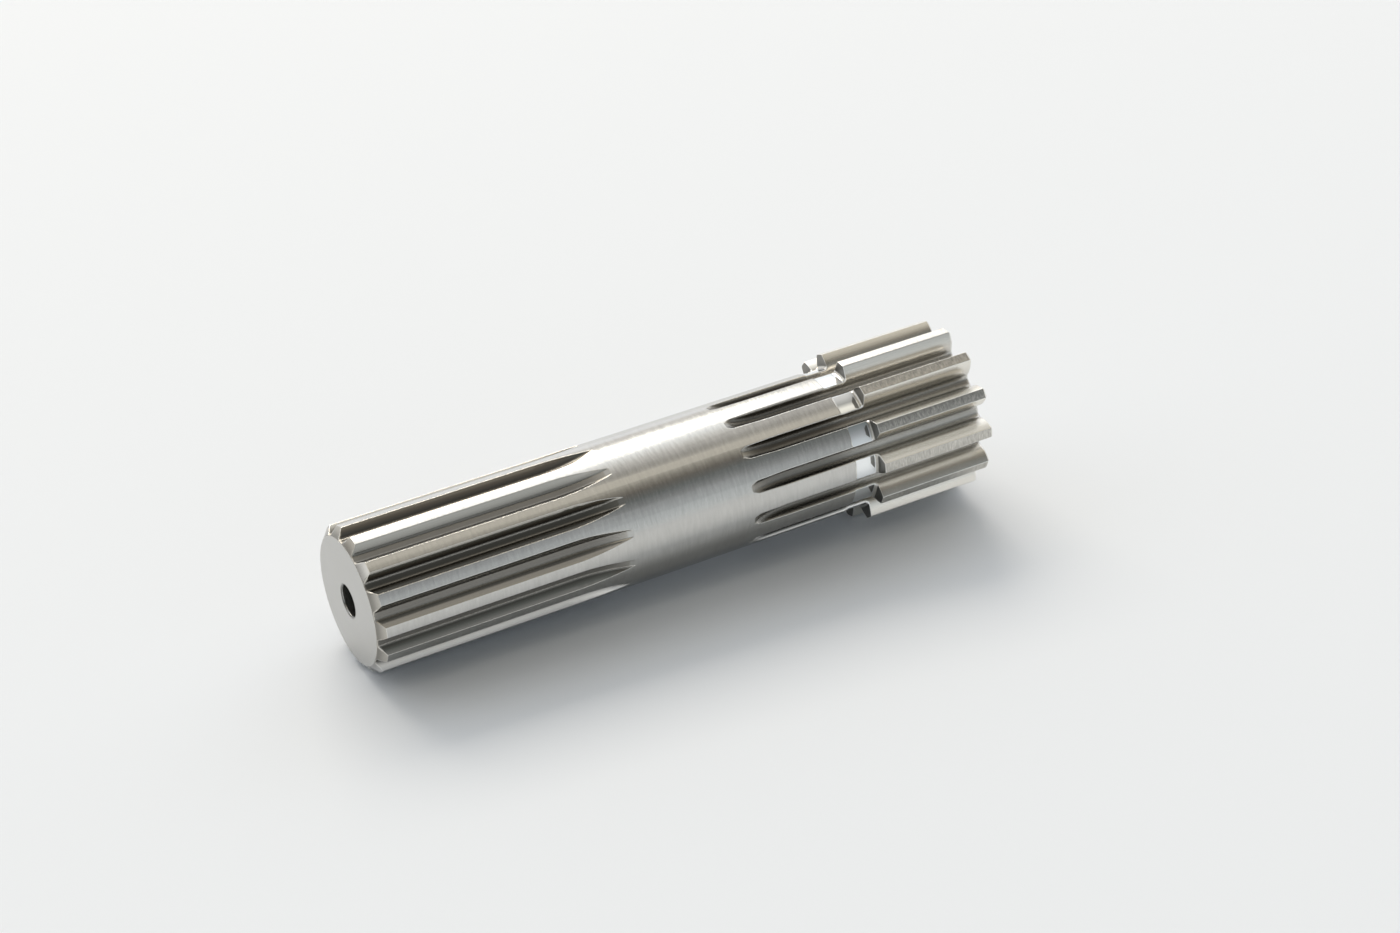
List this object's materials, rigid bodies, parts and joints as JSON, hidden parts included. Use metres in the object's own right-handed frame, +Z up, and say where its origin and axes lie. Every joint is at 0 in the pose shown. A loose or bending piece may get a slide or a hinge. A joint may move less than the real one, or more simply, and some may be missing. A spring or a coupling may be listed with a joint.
{
  "type": "sun gear shaft",
  "caption": "Solid steel shaft with an involute spline at one end, a spur sun gear at the other, a plain shank between them and a centre hole in each end.",
  "frame": {"origin": "centre of the end face at the splined end, on the shaft's axis", "axes": "+X along the shaft's axis towards the gear, +Z up with the shaft lying on its side, +Y completing a right-handed frame"},
  "size_m": [0.2165, 0.0558, 0.0555],
  "materials": {
    "steel": "turned and ground, with polished tooth flanks"
  },
  "bodies": {
    "root": {"sun_gear_shaft": "steel"}
  },
  "joints": []
}
